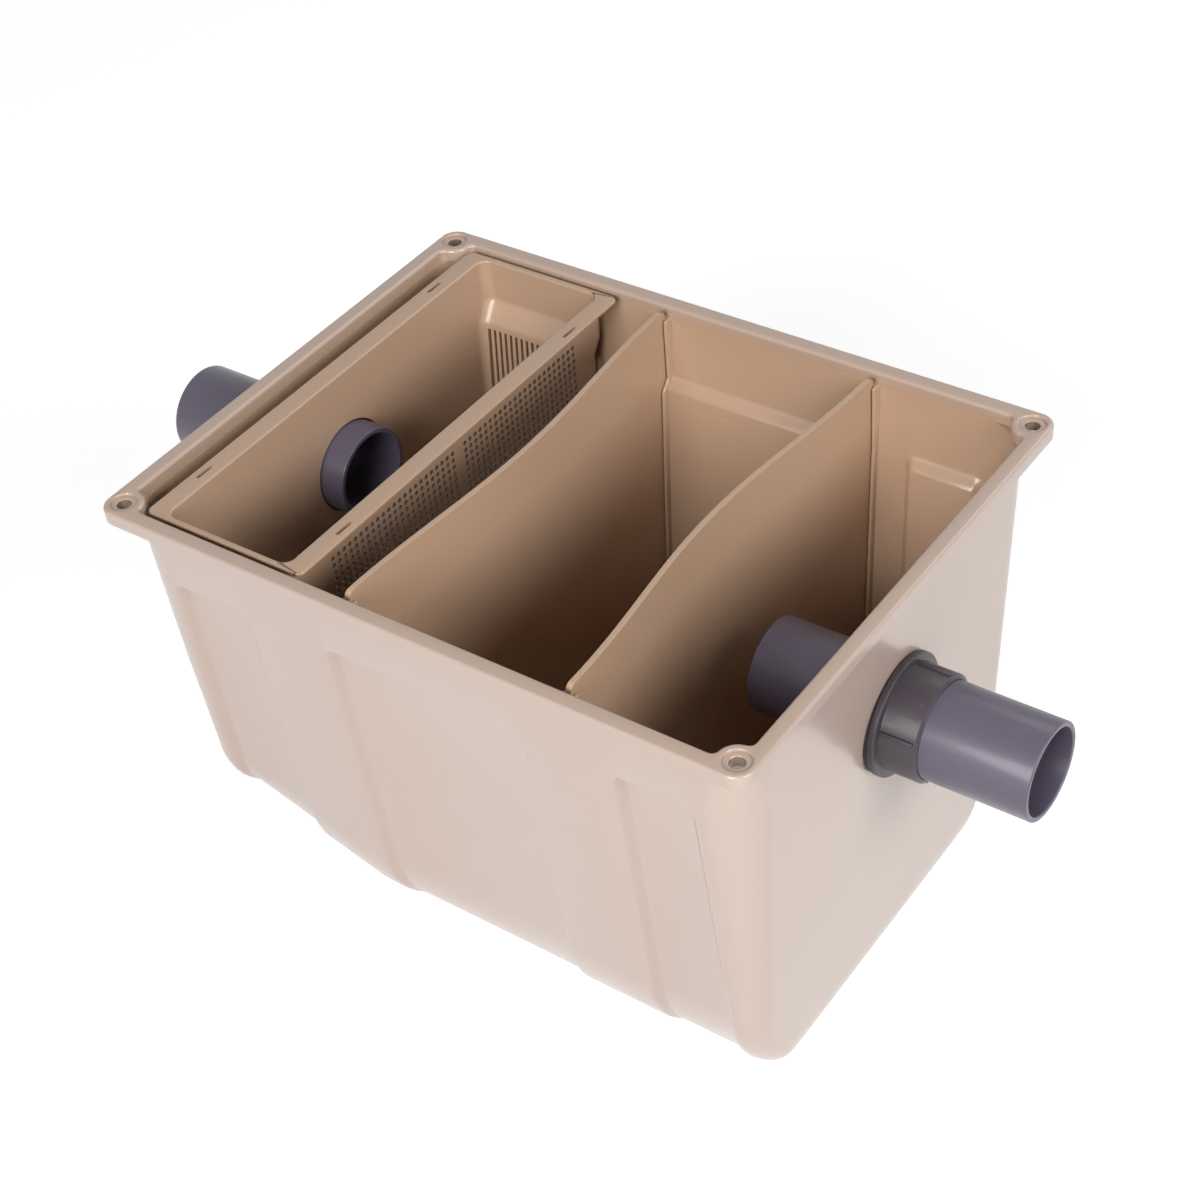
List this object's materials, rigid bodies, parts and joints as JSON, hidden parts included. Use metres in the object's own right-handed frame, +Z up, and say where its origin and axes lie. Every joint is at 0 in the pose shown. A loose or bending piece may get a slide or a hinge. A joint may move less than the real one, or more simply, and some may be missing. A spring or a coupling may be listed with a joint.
{
  "type": "grease trap",
  "caption": "Open under-sink grease trap: tapered plastic tub with recessed side panels, lift-out strainer basket, bowed baffles and level inlet and outlet pipes in flanged sockets.",
  "frame": {"origin": "middle of the tub's foot, on the surface it stands on, midway between the outer pipe ends", "axes": "+X along the flow from inlet to outlet, +Y across the tub, +Z up through the open top"},
  "size_m": [0.517, 0.287, 0.268],
  "materials": {
    "tub_plastic": "satin moulded polypropylene, tan",
    "basket_plastic": "satin moulded polypropylene, tan",
    "baffle_plastic": "satin moulded polypropylene, tan",
    "pipe_plastic": "satin extruded drain pipe, dark grey",
    "socket_plastic": "satin moulded fitting, dark grey",
    "gasket_rubber": "dull black rubber"
  },
  "bodies": {
    "root": {"tub": "tub_plastic", "strainer_basket": "basket_plastic", "inlet_baffle": "baffle_plastic", "outlet_baffle": "baffle_plastic", "inlet_pipe": "pipe_plastic", "outlet_pipe": "pipe_plastic", "inlet_flange": "socket_plastic", "outlet_flange": "socket_plastic", "inlet_gasket": "gasket_rubber", "outlet_gasket": "gasket_rubber"}
  },
  "joints": []
}
